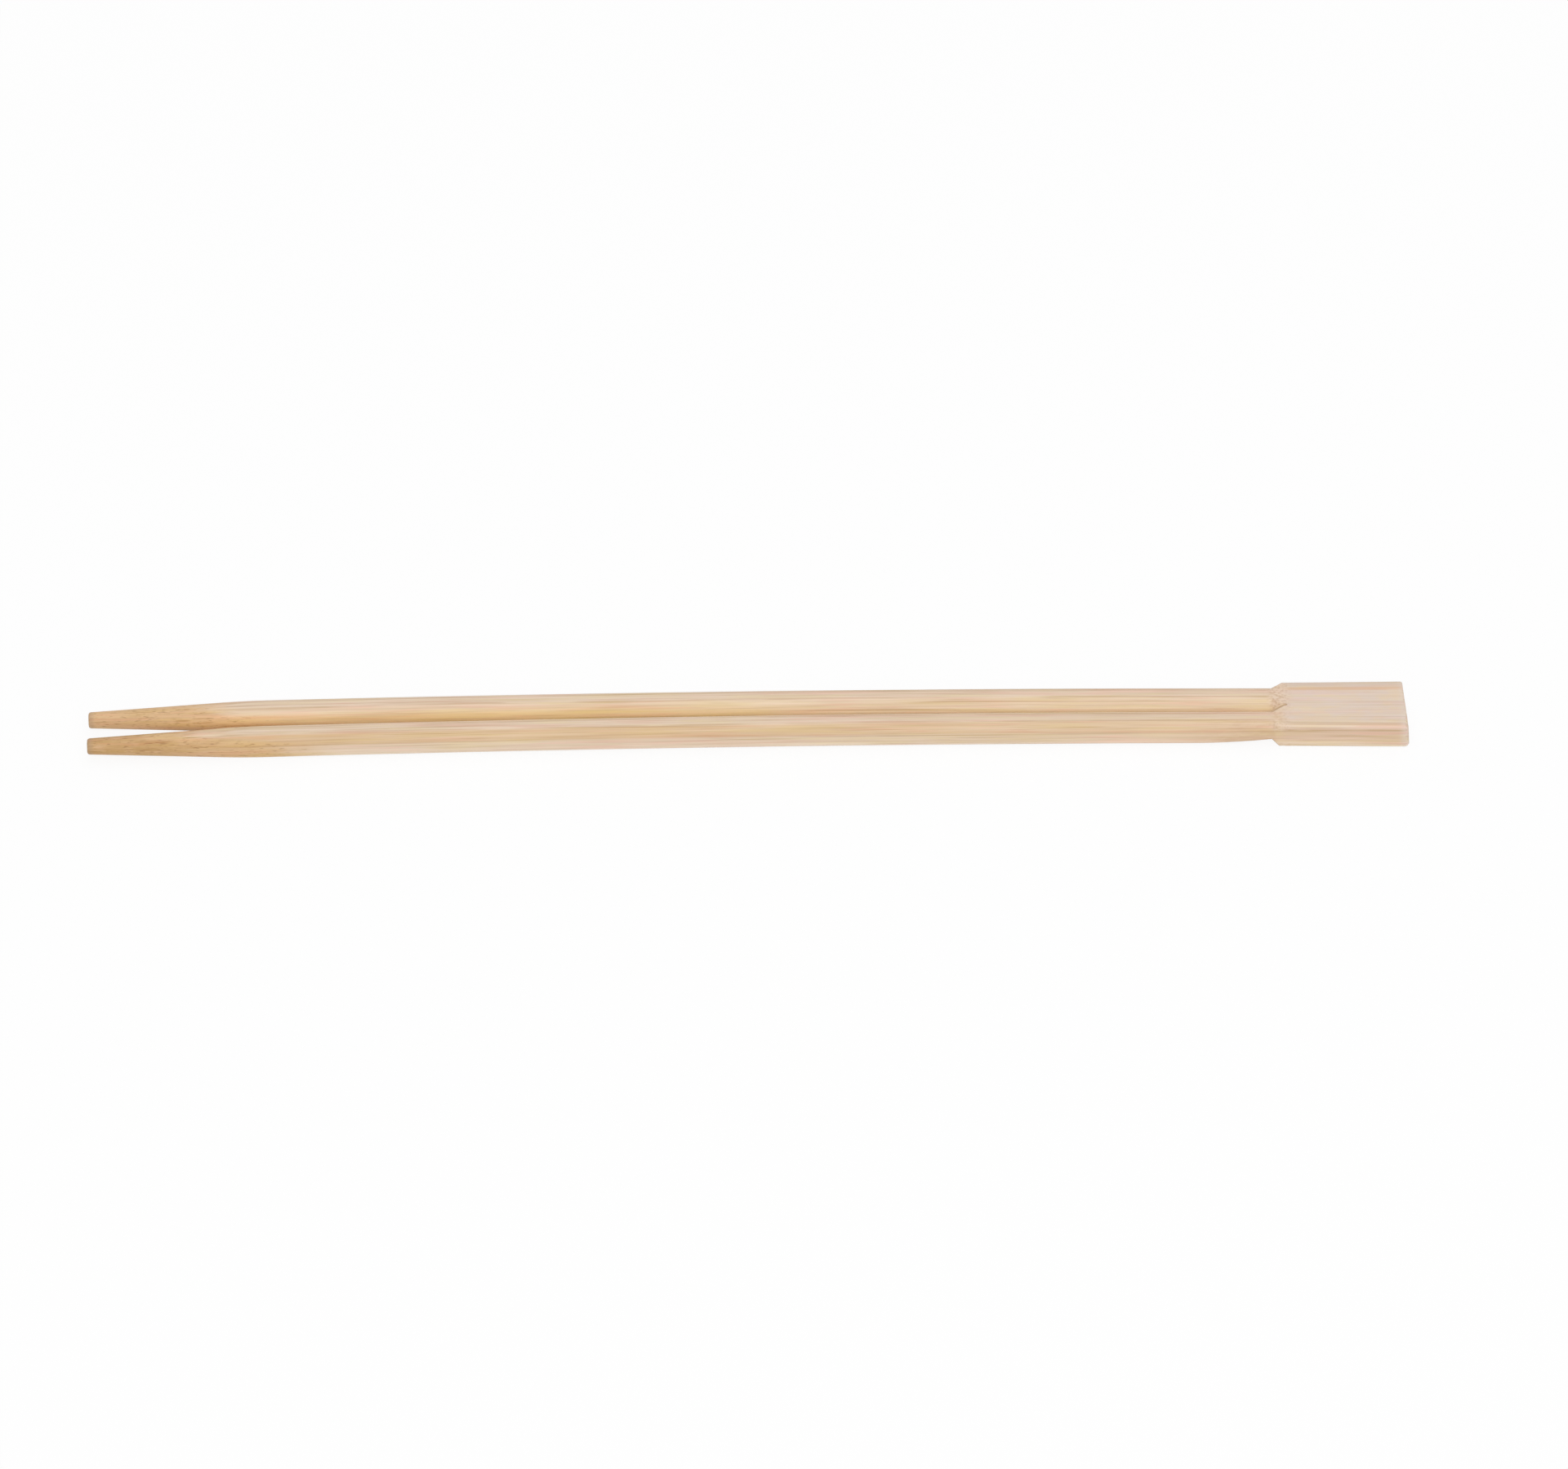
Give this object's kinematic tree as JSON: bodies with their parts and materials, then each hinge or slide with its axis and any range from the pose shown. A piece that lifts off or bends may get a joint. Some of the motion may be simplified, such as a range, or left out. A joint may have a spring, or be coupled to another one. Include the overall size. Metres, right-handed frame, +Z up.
{
  "type": "bamboo chopsticks",
  "caption": "Disposable bamboo chopsticks slit from a slat, with rounded sticks, tapered tips and an undivided rectangular head that is snapped apart before use.",
  "frame": {"origin": "under the middle of the whole pair's box, on the surface that it lies on", "axes": "+X along the sticks from the tips to the head, +Y across the pair towards the stick that is further away in the picture, +Z up through the thickness of the slat"},
  "size_m": [0.2104, 0.0138, 0.0049],
  "materials": {
    "bamboo": "sanded, uncoated"
  },
  "bodies": {
    "root": {"chopstick_pair": "bamboo"}
  },
  "joints": []
}
